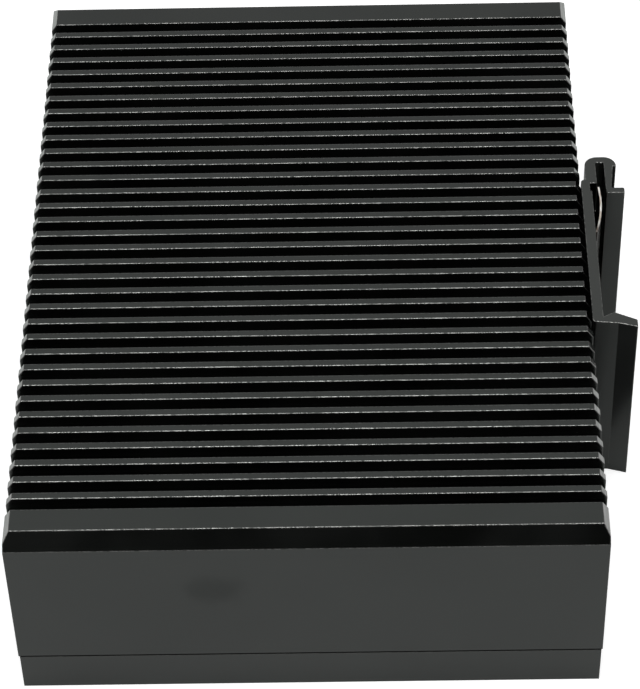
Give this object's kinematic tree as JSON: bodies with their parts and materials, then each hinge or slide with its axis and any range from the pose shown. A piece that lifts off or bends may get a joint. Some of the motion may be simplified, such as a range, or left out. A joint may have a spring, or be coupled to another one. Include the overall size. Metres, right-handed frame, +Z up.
{
  "type": "din rail ethernet switch",
  "caption": "Slim industrial network switch in a black finned aluminium extrusion, with a port panel on one end and a sprung clip for a top hat rail on the other.",
  "frame": {"origin": "middle of the cover's flat underside, on which the switch lies", "axes": "+Z up through the fins, +X from the port panel to the rail clip, +Y the side that is up once it hangs on a rail"},
  "size_m": [0.1033, 0.1272, 0.0362],
  "materials": {
    "black_anodised": "fine matte black anodising, bright where edges are worn or milled after it",
    "black_panel": "black anodised sheet, satin",
    "black_screws": "black oxide steel",
    "spring_steel": "bare spring steel",
    "zinc_plated_steel": "zinc plated",
    "board": "green solder mask on glass epoxy",
    "nickel_shield": "nickel plated sheet",
    "black_plastic": "moulded, slightly glossy",
    "gold_contacts": "gold plated spring wire",
    "port_lamps": "tinted translucent plastic, unlit",
    "green_plastic": "moulded green",
    "tinned_pins": "tin plated",
    "green_lamp": "tinted lens, unlit",
    "red_lamp": "tinted lens, unlit",
    "chip_resin": "moulded epoxy",
    "thermal_pad": "soft filled silicone",
    "capacitor_sleeve": "shrink sleeve on an aluminium can",
    "ferrite": "ferrite and resin",
    "crystal_can": "nickel silver can"
  },
  "bodies": {
    "root": {"finned_housing": "black_anodised", "base_cover": "black_anodised", "front_panel": "black_panel", "back_panel": "black_panel", "front_panel_screws": "black_screws", "back_panel_screws": "black_screws", "din_clip": "black_anodised", "clip_leaf_spring": "spring_steel", "clip_screws": "zinc_plated_steel", "circuit_board": "board", "port_1_shield": "nickel_shield", "port_1_body": "black_plastic", "port_1_contacts": "gold_contacts", "port_1_lamps": "port_lamps", "port_2_shield": "nickel_shield", "port_2_body": "black_plastic", "port_2_contacts": "gold_contacts", "port_2_lamps": "port_lamps", "port_3_shield": "nickel_shield", "port_3_body": "black_plastic", "port_3_contacts": "gold_contacts", "port_3_lamps": "port_lamps", "port_4_shield": "nickel_shield", "port_4_body": "black_plastic", "port_4_contacts": "gold_contacts", "port_4_lamps": "port_lamps", "port_5_shield": "nickel_shield", "port_5_body": "black_plastic", "port_5_contacts": "gold_contacts", "port_5_lamps": "port_lamps", "power_header": "green_plastic", "power_pin_1": "tinned_pins", "power_pin_2": "tinned_pins", "power_pin_3": "tinned_pins", "power_pin_4": "tinned_pins", "lamp_holder": "black_plastic", "power_lamp": "green_lamp", "fault_lamp": "red_lamp", "switch_chip": "chip_resin", "thermal_pad": "thermal_pad", "transformer_1": "chip_resin", "transformer_2": "chip_resin", "transformer_3": "chip_resin", "transformer_4": "chip_resin", "transformer_5": "chip_resin", "capacitor_1": "capacitor_sleeve", "capacitor_2": "capacitor_sleeve", "power_coil": "ferrite", "regulator_chip": "chip_resin", "clock_crystal": "crystal_can", "earth_screw": "zinc_plated_steel", "earth_washer": "zinc_plated_steel"}
  },
  "joints": []
}
